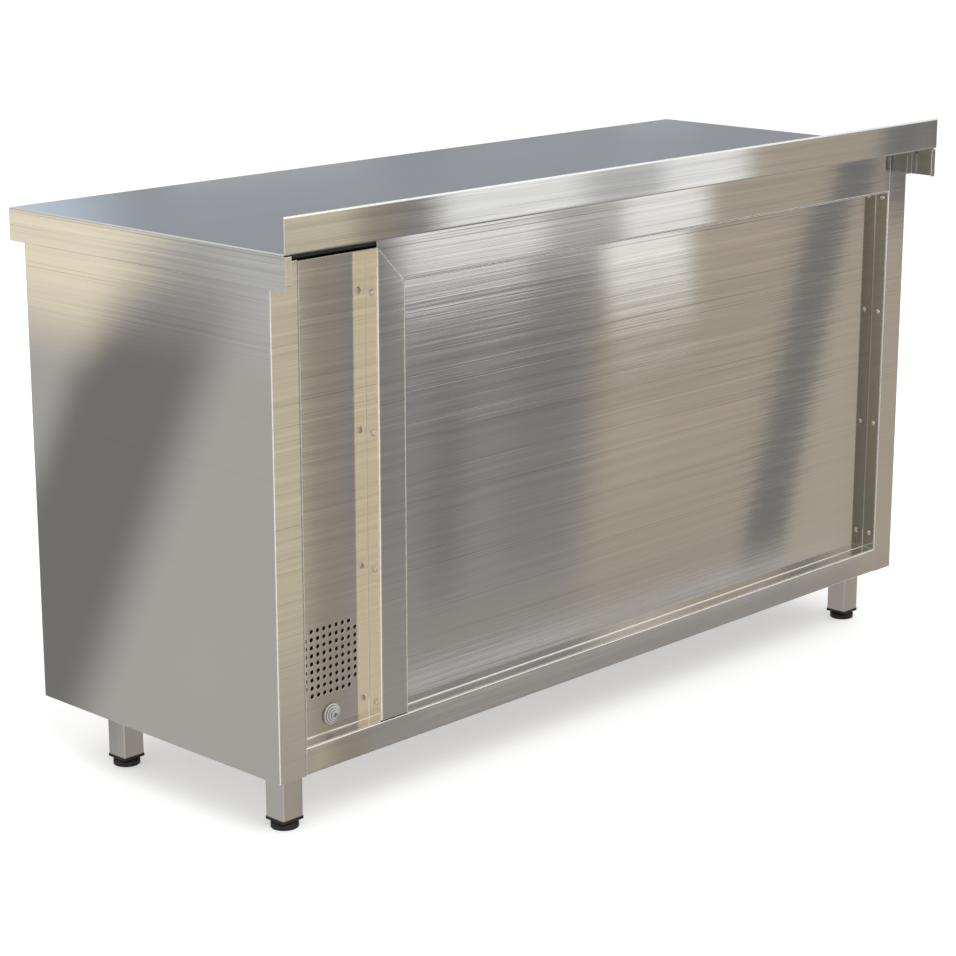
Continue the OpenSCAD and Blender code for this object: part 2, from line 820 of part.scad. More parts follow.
// A pressed cup with a thin rim, set into the outer skin's window
module door_handle(x, lane) {
    w = handle_w - 2 * seam;
    h = handle_h - 2 * seam;
    hz = handle_z();
    color(bright) difference() {
        union() {
            block([x - w / 2, x + w / 2], [lane - 0.5, lane + handle_d], [hz - h / 2, hz + h / 2]);
            block([x - w / 2 - 4, x + w / 2 + 4], [lane - 1, lane - seam],
                [hz - h / 2 - 4, hz + h / 2 + 4]);
        }
        block([x - w / 2 + 1, x + w / 2 - 1], [lane - 2, lane + handle_d - 1],
            [hz - h / 2 + 1, hz + h / 2 - 1]);
    }
}

// Plates that stand up from the door's top and carry the roller axles
module door_hangers(x, lane) {
    y = lane + plate_dy;
    color(bright)
        for (hx = hanger_places(x)) {
            difference() {
                block([hx - 20, hx + 20], [y, y + plate_t], [door_z1 + seam, axle_z + 8]);
                for (side = [-1, 1]) translate([hx + side * 20, y + 1, axle_z + 8])
                    rotate([0, 45, 0]) cube([16, 10, 16], center = true);
            }
            block([hx - 20, hx + 20], [lane + 3, lane + door_t - 2 * skin_t],
                [door_z1 + seam, door_z1 + seam + 2]);
            rod_y(axle_r, hx, [lane + roller_dy, y + 1], axle_z);
            rod_y(axle_r + 2, hx, [lane + roller_dy + roller_w + seam, y + 1], axle_z);
        }
}

function hanger_places(x) = [x + hanger_in, x + door_w - hanger_in];

// Nylon shoes inside the door's foot that straddle the guide rib
module door_guides(x, lane) {
    y = lane + rib_dy;
    color([0.9, 0.9, 0.86])
        for (hx = hanger_places(x)) difference() {
            block([hx - 25, hx + 25], [y - slot_w / 2 + seam, y + slot_w / 2 - seam],
                [door_z0 + 0.3, door_z0 + rib_h + 8]);
            block([hx - 26, hx + 26], [y - 1 - run_gap, y + 1 + run_gap],
                [door_z0 - 1, rib_foot_z + rib_h + 1]);
        }
}

// A grooved nylon wheel on its axle
module roller(x, lane) {
    half = roller_w / 2;
    color([0.93, 0.93, 0.9])
        translate([x, lane + roller_dy + half, axle_z]) rotate([90, 0, 0]) rotate_extrude()
            polygon([[axle_r + bore_gap, -half], [axle_r + 2.5, -half], [axle_r + 2.5, -half + 1],
                [roller_r - 2, -half + 1], [roller_r - 2, -half], [roller_r - 0.5, -half],
                [roller_r, -half + 0.5], [roller_r, half - 0.5], [roller_r - 0.5, half],
                [roller_r - 2, half], [roller_r - 2, half - 1], [axle_r + 2.5, half - 1],
                [axle_r + 2.5, half], [axle_r + bore_gap, half]]);
}

left_handle_x = left_door_x + door_tuck + handle_in;
right_handle_x = right_door_x + door_w - door_tuck - handle_in;

module left_door_skin() { door_skin(left_door_x, front_lane_y, left_handle_x); }
module left_door_back() { door_back(left_door_x, front_lane_y); }
module left_door_handle() { door_handle(left_handle_x, front_lane_y); }
module left_door_hangers() { door_hangers(left_door_x, front_lane_y); }
module left_door_guides() { door_guides(left_door_x, front_lane_y); }
module left_door_roller_a() { roller(hanger_places(left_door_x)[0], front_lane_y); }
module left_door_roller_b() { roller(hanger_places(left_door_x)[1], front_lane_y); }
module right_door_skin() { door_skin(right_door_x, rear_lane_y, right_handle_x); }
module right_door_back() { door_back(right_door_x, rear_lane_y); }
module right_door_handle() { door_handle(right_handle_x, rear_lane_y); }
module right_door_hangers() { door_hangers(right_door_x, rear_lane_y); }
module right_door_guides() { door_guides(right_door_x, rear_lane_y); }
module right_door_roller_a() { roller(hanger_places(right_door_x)[0], rear_lane_y); }
module right_door_roller_b() { roller(hanger_places(right_door_x)[1], rear_lane_y); }

// ---- Controls ----

spindle_r = 3;

// The knob, with its spindle and a raised pointer
module thermostat_knob() {
    y = control_y - 1;
    color(black) translate([control_x, y, knob_z]) rotate([90, 0, 0]) rotate_extrude()
        polygon([[0, 0], [knob_r, 0], [knob_r, 3], [knob_r - 4, 4], [knob_r - 5, knob_h - 1.5],
            [knob_r - 6.5, knob_h], [0, knob_h]]);
    color(bright) block([control_x - 1, control_x + 1], [y - knob_h - 0.8, y - knob_h + 1],
        [knob_z + 3, knob_z + knob_r - 7]);
    color(bright) rod_y(spindle_r, control_x, [y - 1, control_y + sheet + 12], knob_z);
}

module thermostat_body() {
    y = control_y + sheet + seam;
    color([0.3, 0.3, 0.32]) difference() {
        union() {
            block([control_x - 22, control_x + 22], [y, y + 30], [knob_z - 20, knob_z + 20]);
            rod_y(12, control_x, [y + 29, y + 36], knob_z);
            for (dx = [-12, 0, 12])
                block([control_x + dx - 3, control_x + dx + 3], [y + 29, y + 38],
                    [knob_z - 17, knob_z - 16]);
        }
        rod_y(spindle_r + bore_gap, control_x, [y - 1, y + 14], knob_z);
    }
}

// Bezel and body of the rocker switch, hollow where the rocker sits
module switch_housing() {
    front = control_y - seam;
    back = control_y + sheet + 24;
    w = rocker_w / 2;
    h = rocker_h / 2;
    color(black) difference() {
        union() {
            block([control_x - w - 4, control_x + w + 4], [front - 2, front],
                [switch_z - h - 4, switch_z + h + 4]);
            block([control_x - w - 1.8, control_x + w + 1.8], [front - e, back],
                [switch_z - h - 1.8, switch_z + h + 1.8]);
        }
        block([control_x - w, control_x + w], [front - 3, back - 10],
            [switch_z - h, switch_z + h]);
        rod_x(1.5 + bore_gap, [control_x - w - 1.3, control_x + w + 1.3], control_y + 3, switch_z);
    }
    color(bright)
        for (dz = [-8, 0, 8])
            block([control_x - 3, control_x + 3], [back - e, back + 8],
                [switch_z + dz - 0.4, switch_z + dz + 0.4]);
}

// The rocker turns on two stub pins, and rests with its upper half out
module switch_rocker() {
    w = rocker_w / 2 - run_gap;
    reach = rocker_h / 2 - 1.2;
    color([0.1, 0.1, 0.1])
        translate([control_x, control_y + 3, switch_z]) rotate([10, 0, 0]) {
            along_x([-w, w])
                polygon([[4, -4], [4, 4], [-1.5, reach], [-6, reach - 0.2], [-4.5, 0],
                    [-6, 0.2 - reach], [-1.5, -reach]]);
            rod_x(1.5, [-w - 1.3, w + 1.3], 0, 0);
        }
}

module pilot_lamp() {
    front = control_y - seam;
    color([0.9, 0.45, 0.1]) translate([control_x, front, lamp_z]) rotate([90, 0, 0])
        rotate_extrude() polygon([[0, -22], [6, -22], [6, 0], [8, 0], [8, 1.2], [6, 3], [3, 4.2],
            [0, 4.6]]);
}

// ---- Fan heater ----

// Flange, housing and terminal cap, with a bore for the shaft
module fan_motor() {
    x = part_x + liner_t + seam;
    color([0.55, 0.56, 0.58]) difference() {
        union() {
            rod_x(motor_r + 8, [x, x + 3], fan_cy, fan_cz);
            rod_x(motor_r, [x + 2, x + 52], fan_cy, fan_cz);
            rod_x(motor_r - 6, [x + 51, x + 60], fan_cy, fan_cz);
            for (a = [0 : 30 : 330]) translate([0, fan_cy, fan_cz]) rotate([a, 0, 0])
                block([x + 8, x + 48], [motor_r - 1, motor_r + 4], [-1.5, 1.5]);
        }
        rod_x(shaft_r + bore_gap, [x - 1, x + 40], fan_cy, fan_cz);
    }
}

// A centrifugal wheel: back plate, curved blades, front ring, hub and shaft
module fan_impeller() {
    x0 = part_x - 30;
    x1 = part_x - 8;
    color(bright) translate([0, fan_cy, fan_cz]) {
        rod_x(impeller_r, [x1, x1 + 1.5], 0, 0);
        rod_x(13, [x0 + 4, x1 + e], 0, 0);
        along_x([x0 - 1.5, x0]) ring2d(impeller_r, impeller_r - 16);
        along_x([x0 - e, x1 + e])
            for (i = [0 : blade_n - 1]) rotate(i * 360 / blade_n) blade2d();
        rod_x(shaft_r, [x0 + 2, part_x + liner_t + 36], 0, 0);
    }
}

module ring2d(outer, inner) {
    difference() {
        circle(outer);
        circle(inner);
    }
}

// One blade's section: part of a ring that leans back against the turn
module blade2d() {
    bend = 40;
    root = 34;
    intersection() {
        ring2d(impeller_r - 0.5, root);
        translate([root + 4, -bend + 6]) ring2d(bend, bend - 1.5);
        translate([0, -4]) square(impeller_r);
    }
}

// A perforated cover that draws air through its middle and blows it out of its edges
module fan_cover() {
    y0 = fan_cy - cover_w / 2;
    z0 = fan_cz - cover_w / 2;
    slots = 5;
    slot_pitch = cover_w / (slots + 1);
    color(bright) difference() {
        union() {
            translate([cover_x, y0, z0]) rotate([90, 0, 90])
                pan(cover_w, cover_w, cover_d - seam, liner_t, 2);
            for (side = [0, 1])
                block([part_x - seam - liner_t, part_x - seam],
                    side ? [y0 + cover_w - e, y0 + cover_w + 14] : [y0 - 14, y0 + e],
                    [z0, z0 + cover_w]);
        }
        for (ring = [0 : 4], k = [0 : max(0, 6 * ring - 1)])
            translate([0, fan_cy, fan_cz]) rotate([k * 60 / max(1, ring), 0, 0])
                rod_x(3.5, [cover_x - 1, cover_x + 3], 0, ring * 11);
        for (i = [1 : slots], side = [0, 1])
            translate([cover_x + cover_d / 2, y0 + i * slot_pitch, z0 + side * cover_w - 3])
                slot(24, 9, 6);
        for (i = [1 : slots], side = [0, 1])
            translate([cover_x + cover_d / 2, y0 + side * cover_w + 3, z0 + i * slot_pitch])
                rotate([90, 0, 0]) slot(24, 9, 6);
    }
}

// Two turns of heater tube around the wheel. One end of each turn joins the other turn,
// and the free ends pass through the partition in thicker sleeves.
module ring_heater() {
    x = [part_x - 32, part_x - 14];
    color([0.35, 0.33, 0.32]) {
        for (i = [0, 1])
            translate([x[i], fan_cy, fan_cz]) rotate([0, -90, 0])
                rotate([0, 0, 180 - ring_tails[i]])
                    rotate_extrude(angle = 360 - ring_joint + ring_tails[i])
                        translate([ring_r, 0]) circle(ring_tube_r);
        heater_sleeve(ring_joint, [x[0] - sleeve_r, x[1] + sleeve_r]);
        for (i = [0, 1]) heater_sleeve(ring_tails[i], [x[i] - sleeve_r, part_x + liner_t + 36]);
    }
}

module heater_sleeve(a, x) {
    rod_x(sleeve_r, x, fan_cy + ring_point(a)[0], fan_cz + ring_point(a)[1]);
}

// ---- Wiring ----

module terminal_block() {
    x = control_x;
    y = back_y - 90;
    z = panel_top + seam;
    color([0.85, 0.85, 0.8]) {
        block([x - 40, x + 40], [y - 18, y + 18], [z, z + 4]);
        difference() {
            block([x - 34, x + 34], [y - 11, y + 11], [z + 3, z + 22]);
            for (i = [-2 : 2]) {
                rod_y(2, x + i * 12, [y - 12, y + 12], z + 10);
                translate([x + i * 12, y, z + 12]) cylinder(r = 2.5, h = 12);
            }
        }
    }
}

worktop();
worktop_board();
left_side_panel();
right_side_panel();
rear_top_rail();
rear_stile();
rear_bottom_rail();
main_rear_panel();
service_rear_panel();
cable_grommet();
rear_panel_screws();
bottom_panel();
front_left_leg();
front_right_leg();
rear_left_leg();
rear_right_leg();
leg_plugs();
front_left_foot();
front_right_foot();
rear_left_foot();
rear_right_foot();
left_liner();
partition_liner();
back_liner();
top_liner();
floor_liner();
insulation();
shelf();
left_shelf_support();
right_shelf_support();
front_top_rail();
front_bottom_rail();
front_door_post();
control_panel();
top_track();
bottom_track();
left_door_skin();
left_door_back();
left_door_handle();
left_door_hangers();
left_door_guides();
left_door_roller_a();
left_door_roller_b();
right_door_skin();
right_door_back();
right_door_handle();
right_door_hangers();
right_door_guides();
right_door_roller_a();
right_door_roller_b();
thermostat_knob();
thermostat_body();
switch_housing();
switch_rocker();
pilot_lamp();
fan_motor();
fan_impeller();
fan_cover();
ring_heater();
terminal_block();
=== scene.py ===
import json
import math

import bpy
import numpy as np
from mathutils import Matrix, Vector


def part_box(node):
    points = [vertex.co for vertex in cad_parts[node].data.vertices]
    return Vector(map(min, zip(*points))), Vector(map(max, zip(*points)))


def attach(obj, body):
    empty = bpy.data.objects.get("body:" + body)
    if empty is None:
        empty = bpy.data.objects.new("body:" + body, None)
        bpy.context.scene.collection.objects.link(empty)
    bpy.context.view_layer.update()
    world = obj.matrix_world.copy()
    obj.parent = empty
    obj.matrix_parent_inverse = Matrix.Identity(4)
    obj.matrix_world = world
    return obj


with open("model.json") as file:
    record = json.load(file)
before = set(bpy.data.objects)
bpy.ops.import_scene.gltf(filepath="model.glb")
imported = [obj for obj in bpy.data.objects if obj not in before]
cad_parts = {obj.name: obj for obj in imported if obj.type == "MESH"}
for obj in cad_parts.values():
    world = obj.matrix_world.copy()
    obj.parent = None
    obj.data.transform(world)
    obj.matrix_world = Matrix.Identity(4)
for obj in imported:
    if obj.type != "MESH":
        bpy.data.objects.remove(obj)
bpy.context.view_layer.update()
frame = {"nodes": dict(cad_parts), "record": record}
nodes = frame["nodes"]
print("frame loaded:", len(nodes), "nodes")


class Flow:
    # a number, colour or vector on its way through one node tree

    def __init__(self, tree, socket):
        self.tree = tree
        self.socket = socket

    def maths(self, operation, *values):
        node = self.tree.nodes.new("ShaderNodeMath")
        node.operation = operation
        for entry, value in zip(node.inputs, values):
            if isinstance(value, Flow):
                self.tree.links.new(value.socket, entry)
            else:
                entry.default_value = value
        return Flow(self.tree, node.outputs[0])

    def __add__(self, other):
        return self.maths("ADD", self, other)

    def __radd__(self, other):
        return self.maths("ADD", other, self)

    def __sub__(self, other):
        return self.maths("SUBTRACT", self, other)

    def __rsub__(self, other):
        return self.maths("SUBTRACT", other, self)

    def __mul__(self, other):
        return self.maths("MULTIPLY", self, other)

    def __rmul__(self, other):
        return self.maths("MULTIPLY", other, self)

    def __truediv__(self, other):
        return self.maths("DIVIDE", self, other)

    def __rtruediv__(self, other):
        return self.maths("DIVIDE", other, self)

    def __abs__(self):
        return self.maths("ABSOLUTE", self)

    def __gt__(self, other):
        return self.maths("GREATER_THAN", self, other)

    def __lt__(self, other):
        return self.maths("LESS_THAN", self, other)

    def root(self):
        return self.maths("SQRT", self)

    def part(self):
        return self.maths("FRACT", self)

    def most(self, other):
        return self.maths("MAXIMUM", self, other)

    def least(self, other):
        return self.maths("MINIMUM", self, other)

    # 0 below start, 1 above end, smooth between; start may be the higher one
    def ease(self, start, end):
        node = self.tree.nodes.new("ShaderNodeMapRange")
        node.interpolation_type = "SMOOTHSTEP"
        self.tree.links.new(self.socket, node.inputs["Value"])
        if start > end:
            start, end = end, start
            node.inputs["To Min"].default_value = 1
            node.inputs["To Max"].default_value = 0
        node.inputs["From Min"].default_value = start
        node.inputs["From Max"].default_value = end
        return Flow(self.tree, node.outputs["Result"])

    # 1 within half of the centre, fading out over soft
    def strip(self, centre, half, soft):
        return abs(self - centre).ease(half + soft / 2, half - soft / 2)


class Tree:
    # one node tree, where make() adds any node that isn't plain maths

    def __init__(self, owner):
        owner.use_nodes = True
        self.tree = owner.node_tree
        self.tree.nodes.clear()

    def make(self, kind, settings=None, output=0, **values):
        node = self.tree.nodes.new("ShaderNode" + kind)
        for name, value in (settings or {}).items():
            if name == "stops":
                self.setStops(node.color_ramp, value)
            else:
                setattr(node, name, value)
        for name, value in values.items():
            self.plug(node.inputs[int(name[1:]) if name[1:].isdigit() else name.replace("_", " ")], value)
        return Flow(self.tree, node.outputs[output]) if len(node.outputs) else None

    def setStops(self, ramp, stops):
        while len(ramp.elements) < len(stops):
            ramp.elements.new(0.5)
        for element, (place, colour) in zip(ramp.elements, stops):
            element.position = place
            element.color = (*colour, 1)

    def plug(self, entry, value):
        if isinstance(value, Flow):
            self.tree.links.new(value.socket, entry)
        elif isinstance(value, tuple) and len(value) == 3 and entry.type == "RGBA":
            entry.default_value = (*value, 1)
        else:
            entry.default_value = value

    # colours: second over first, by the mask
    def over(self, mask, first, second):
        return self.make("Mix", {"data_type": "RGBA"}, 2, n0=mask, n6=first, n7=second)

    def place(self):
        position = self.make("TexCoord", output="Object")
        return [self.make("SeparateXYZ", output=axis, Vector=position) for axis in "XYZ"]

    def vector(self, x, y, z=0.0):
        return self.make("CombineXYZ", X=x, Y=y, Z=z)

    def noise(self, vector, scale=1.0, detail=2.0, roughness=0.5):
        return self.make("TexNoise", Vector=vector, Scale=scale, Detail=detail, Roughness=roughness)

    def finish(self, shader, kind="OutputMaterial"):
        self.make(kind, n0=shader)


def newMaterial(name):
    material = bpy.data.materials.new(name)
    return material, Tree(material)


# Noises of the brushed grain: stretch along and across it, shift along and across, detail
brush = {"fine": (6.0, 950.0, 0.0, 0.0, 2), "medium": (1.7, 330.0, 5.3, 0.0, 3),
         "broad": (0.8, 95.0, 1.7, 0.0, 1), "scratch": (1.3, 520.0, 9.1, 0.0, 1),
         "rare": (1.1, 18.0, 0.0, 3.0, 1), "hair": (0.9, 430.0, 4.4, 0.0, 1),
         "bundle": (0.7, 24.0, 0.0, 8.0, 1)}

# Where the body's and the worktop's sheets differ, in metres, among them where shade and a warm reflection
# are painted
zones = {"outside": 0.7, "endPanel": 0.73, "farRecess": (-0.725, -0.6), "serviceRecess": (0.45, 0.65),
         "recessSide": 0.2, "recessFace": 0.233, "ledge": 0.17, "skirtInside": (-0.7495, -0.74)}
# Painted reflection: a warm tint for the service recess's side walls
serviceWallReflection = (0.96, 0.90, 0.78)


# Brushed steel. The grain runs level on every upright face and along X on level ones, and
# each fold or piece keeps it, as cut from one sheet. Fine ripples across the grain bend
# the reflections up and down. Long scratches, dark hair lines and slow clouds vary tone and
# gloss. Edges and folds get a painted highlight: lighter, rougher and less metallic. Some
# faces also get painted shade, painted light or a painted warm reflection.
def brushedSteel(name, look):
    material, t = newMaterial(name)
    x, y, z = t.place()
    facing = [abs(t.make("SeparateXYZ", output=axis, Vector=t.make("TexCoord", output="Normal")))
              for axis in "XYZ"]
    onSide, onTop = facing[0] > 0.7, facing[2] > 0.7
    if look.get("upright"):
        along, across = z, x + y * 1.37
    else:
        along = y * onSide + x * (1 - onSide)
        across = z + y * (1 - onSide) + x * onSide
    across = across + look.get("offset", 0.0)

    def grain(kind, roughness=0.5):
        stretch, squeeze, slide, lift, detail = brush[kind]
        return t.noise(t.vector(along * stretch + slide, across * squeeze + lift), detail=detail,
                       roughness=roughness)

    def between(value, ends):
        return (value > ends[0]) * (value < ends[1])

    fine, medium, broad = grain("fine"), grain("medium", roughness=0.62), grain("broad")
    scratch, rare = grain("scratch").ease(0.64, 0.74), grain("rare").ease(0.5, 0.66)
    hair, bundle = grain("hair").ease(0.60, 0.67), grain("bundle").ease(0.40, 0.62)
    cloud = t.noise(t.vector(x, y, z), scale=look.get("cloud", 2.6), detail=3)

    # How deep the grain is drawn: less towards the floor and the far end, and on calm faces
    calm = onSide * (1 - z.ease(0.62, 0.82) * (abs(x) > zones["outside"]) * 0.65) * look.get("sideCalm", 0.0)
    drawn = (z.ease(0.12, 0.62) * 0.75 + 0.25) * (x.ease(-0.62, -0.25) * 0.55 + 0.45)
    drawn = drawn * (1 - onTop * look.get("levelCalm", 0.0)) * (1 - calm)
    mark, hairs = scratch * rare * drawn, hair * bundle * drawn
    tone = 1 + (medium + broad - 1) * drawn * look["streak"] - mark * 0.16 - hairs * look["hair"]
    tone = tone + (cloud - 0.5) * 0.06
    hue = look["tone"]
    # Painted shadow: a dark line on the end panels just under the skirt's foot. Painted shade: the far
    # recess's end walls darker. Painted reflection: the service recess's side walls tinted warm.
    if "skirtFoot" in look:
        shadowUnderSkirt = z.strip(look["skirtFoot"], 0.0012, 0.0010) * (abs(x) > zones["endPanel"])
        tone = (tone - shadowUnderSkirt * 0.55) * (1 - onSide * between(x, zones["farRecess"]) * 0.45)
        warm = onSide * between(x, zones["serviceRecess"]) * (y > zones["recessSide"])
        hue = t.over(warm, hue, serviceWallReflection)

    # Painted highlight on edges, from where the rounded normal leaves the face's own, and on the folds' round
    # faces
    folds = t.make("Bevel", {"samples": 4}, Radius=look.get("fold", 0.0012))
    bend = t.make("VectorMath", {"operation": "DOT_PRODUCT"}, "Value", n0=folds,
                  n1=t.make("NewGeometry", output="True Normal"))
    curved = facing[0].strip(0.62, 0.20, 0.2).most(facing[2].strip(0.62, 0.20, 0.2))
    curved = curved * (abs(y) > zones["recessFace"]).most(z < zones["ledge"]) * look.get("foldShine", 0.0)
    edge = bend.ease(0.99, 0.88).most(curved)
    # Painted highlight along the upstand's top edge, and painted shade on the skirt's inside face at the -X
    # end
    if "rim" in look:
        edge = edge.most(z.ease(look["rim"] - 0.0015, look["rim"]))
        tone = tone * (1 - onSide * between(x, zones["skirtInside"]) * 0.4)
    # Edge highlight painted into the colour, and level faces painted lighter, as if lit from above
    tone = tone + edge * 0.35 + onTop * look.get("levelLight", 0.0)
    shade = t.make("VectorMath", {"operation": "SCALE"}, n0=hue, Scale=tone)

    height = (fine * 0.15 + medium * 0.5 + broad * 0.7) * drawn * look["grain"] - mark * 0.4 - hairs * 0.3
    normal = t.make("Bump", Strength=1.0, Distance=0.0003, Height=height, Normal=folds)
    gloss = look["roughness"] + onTop * look.get("levelGloss", 0.0) + (fine - 0.5) * 0.05
    gloss = gloss + (cloud - 0.5) * 0.04 + mark * 0.08 + edge * 0.2
    metal = look.get("metal", 1.0) - edge * look.get("edgeSheen", 0.5)
    t.finish(t.make("BsdfPrincipled", Base_Color=shade, Metallic=metal, Roughness=gloss, Normal=normal))
    return material


steelLooks = {
    "worktopSteel": {"tone": (0.69, 0.69, 0.68), "streak": 0.34, "hair": 0.26, "grain": 1.6,
                     "roughness": 0.10, "levelCalm": 0.75, "levelGloss": 0.07, "sideCalm": 0.5,
                     "fold": 0.0016, "rim": 0.8980, "edgeSheen": 0.8},
    # The body's steel carries painted light on level faces and a painted shadow under the skirt
    "bodySteel": {"tone": (0.70, 0.69, 0.67), "streak": 0.36, "hair": 0.28, "grain": 1.6, "roughness": 0.08,
                  "sideCalm": 0.93, "skirtFoot": 0.8005, "levelGloss": 0.14, "levelLight": 0.28,
                  "foldShine": 0.9, "edgeSheen": 0.7},
    "doorSteel": {"tone": (0.70, 0.69, 0.67), "streak": 0.34, "hair": 0.30, "grain": 1.7, "roughness": 0.12,
                  "offset": 3.7},
    # A darker copy of the steel on the handles, painted shade for their recessed cups
    "shadedHandleSteel": {"tone": (0.50, 0.49, 0.47), "streak": 0.20, "hair": 0.15, "grain": 0.9, "roughness": 0.24,
                    "upright": True},
    "linerSteel": {"tone": (0.70, 0.70, 0.69), "streak": 0.10, "hair": 0.10, "grain": 0.3, "roughness": 0.30,
                   "cloud": 5.0, "metal": 0.8},
    "trackSteel": {"tone": (0.73, 0.73, 0.72), "streak": 0.15, "hair": 0.12, "grain": 0.5, "roughness": 0.22},
    "legSteel": {"tone": (0.69, 0.67, 0.65), "streak": 0.25, "hair": 0.15, "grain": 0.8, "roughness": 0.20,
                 "upright": True},
}


# Polished screw heads with fine darker specks
def screwSteel(name):
    material, t = newMaterial(name)
    x, y, z = t.place()
    speck = t.noise(t.vector(x, y, z), scale=900.0, detail=2)
    normal = t.make("Bump", Strength=0.3, Distance=0.00005, Height=speck)
    shade = t.over(speck.ease(0.45, 0.75), (0.80, 0.79, 0.76), (0.66, 0.64, 0.60))
    t.finish(t.make("BsdfPrincipled", Base_Color=shade, Metallic=1.0, Roughness=0.16 + speck * 0.1,
                    Normal=normal))
    return material


# Laminated board under the worktop: near black, with pressed fibres and a few pale chips
def coreBoard(name):
    material, t = newMaterial(name)
    x, y, z = t.place()
    fibre = t.noise(t.vector(x * 60.0, y * 200.0, z * 1500.0), detail=3)
    chip = t.noise(t.vector(x, y, z), scale=420.0, detail=2)
    shade = t.over(fibre.ease(0.4, 0.7), (0.012, 0.011, 0.010), (0.045, 0.038, 0.030))
    shade = t.over(chip.ease(0.68, 0.8) * 0.5, shade, (0.16, 0.12, 0.08))
    normal = t.make("Bump", Strength=0.5, Distance=0.0003, Height=fibre + chip * 0.5)
    t.finish(t.make("BsdfPrincipled", Base_Color=shade, Roughness=0.62 + chip * 0.2, Normal=normal))
    return material


# Moulded plastic: spark-eroded texture, faint scuffs and slow changes of gloss
def mouldedPlastic(name, look):
    material, t = newMaterial(name)
    x, y, z = t.place()
    spot = t.vector(x, y, z)
    grit = t.noise(spot, scale=look["grit"], detail=3)
    scuff = t.noise(t.vector(x * 90.0, y * 90.0, z * 700.0), detail=2).ease(0.62, 0.8)
    cloud = t.noise(spot, scale=22.0, detail=2)
    shade = t.over(scuff * look["scuff"], look["tone"], look["worn"])
    shade = t.over(cloud.ease(0.35, 0.75) * 0.35, shade, look["deep"])
    normal = t.make("Bump", Strength=look["bump"], Distance=0.00012, Height=grit)
    gloss = look["roughness"] + (grit - 0.5) * 0.18 + scuff * 0.1
    return material, t, shade, gloss, normal


def plasticMaterial(name, look):
    material, t, shade, gloss, normal = mouldedPlastic(name, look)
    t.finish(t.make("BsdfPrincipled", Base_Color=shade, Roughness=gloss, Normal=normal))
    return material


plasticLooks = {
    "blackPlastic": {"tone": (0.014, 0.014, 0.014), "worn": (0.10, 0.098, 0.094),
                     "deep": (0.008, 0.008, 0.009), "grit": 1400.0, "bump": 0.5, "roughness": 0.42,
                     "scuff": 0.35},
    "controlPlastic": {"tone": (0.020, 0.020, 0.022), "worn": (0.07, 0.07, 0.07),
                       "deep": (0.012, 0.012, 0.013), "grit": 2200.0, "bump": 0.35, "roughness": 0.38,
                       "scuff": 0.2},
    "nylon": {"tone": (0.74, 0.73, 0.68), "worn": (0.62, 0.60, 0.55), "deep": (0.66, 0.65, 0.60),
              "grit": 1200.0, "bump": 0.3, "roughness": 0.40, "scuff": 0.4},
    "grommetRubber": {"tone": (0.64, 0.63, 0.59), "worn": (0.38, 0.37, 0.34), "deep": (0.44, 0.43, 0.40),
                      "grit": 1600.0, "bump": 0.35, "roughness": 0.34, "scuff": 0.5},
    "terminalPlastic": {"tone": (0.70, 0.68, 0.60), "worn": (0.55, 0.52, 0.46), "deep": (0.62, 0.60, 0.53),
                        "grit": 1500.0, "bump": 0.3, "roughness": 0.36, "scuff": 0.3},
}

knobPointer = {"halfWidth": 0.0013, "soft": 0.0002, "start": 0.002, "depth": 0.0012,
               "colour": (0.82, 0.82, 0.80)}


# The knob is the control plastic with a bright painted pointer on its raised bar
def knobMaterial(name, look):
    material, t, shade, gloss, normal = mouldedPlastic(name, look)
    x, y, z = t.place()
    low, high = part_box("thermostat_knob")
    centre = (low + high) / 2
    onBar = abs(x - centre.x).ease(knobPointer["halfWidth"] + knobPointer["soft"], knobPointer["halfWidth"])
    paint = onBar * (z > centre.z + knobPointer["start"]) * (y < low.y + knobPointer["depth"])
    shade = t.over(paint, shade, knobPointer["colour"])
    t.finish(t.make("BsdfPrincipled", Base_Color=shade, Roughness=gloss, Normal=normal))
    return material


rockerMarks = {"half": 0.0006, "soft": 0.0002, "reach": 0.0034, "radius": 0.0030, "off": 0.0065,
               "depth": 0.006}


# The rocker is the same plastic, with a painted bar on its upper half and a ring on the lower
def rockerMaterial(name, look):
    material, t, shade, gloss, normal = mouldedPlastic(name, look)
    x, y, z = t.place()
    low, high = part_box("switch_rocker")
    centre = (low + high) / 2
    across, up = x - centre.x, z - centre.z
    half, soft = rockerMarks["half"], rockerMarks["soft"]
    bar = across.strip(0.0, half, soft) * (up - rockerMarks["off"]).strip(0.0, rockerMarks["reach"], soft)
    away = (across * across + (up + rockerMarks["off"]) * (up + rockerMarks["off"])).root()
    ring = (away - rockerMarks["radius"]).strip(0.0, half, soft)
    paint = bar.most(ring) * (y < low.y + rockerMarks["depth"])
    shade = t.over(paint, shade, knobPointer["colour"])
    t.finish(t.make("BsdfPrincipled", Base_Color=shade, Roughness=gloss, Normal=normal))
    return material


# Grommet rings, with the colours of the painted shade and painted highlight on its steps
grommetRings = {"inner": 0.004, "outer": 0.0165, "steps": 4, "stepShade": (0.20, 0.195, 0.18),
                "shine": (0.86, 0.86, 0.84)}


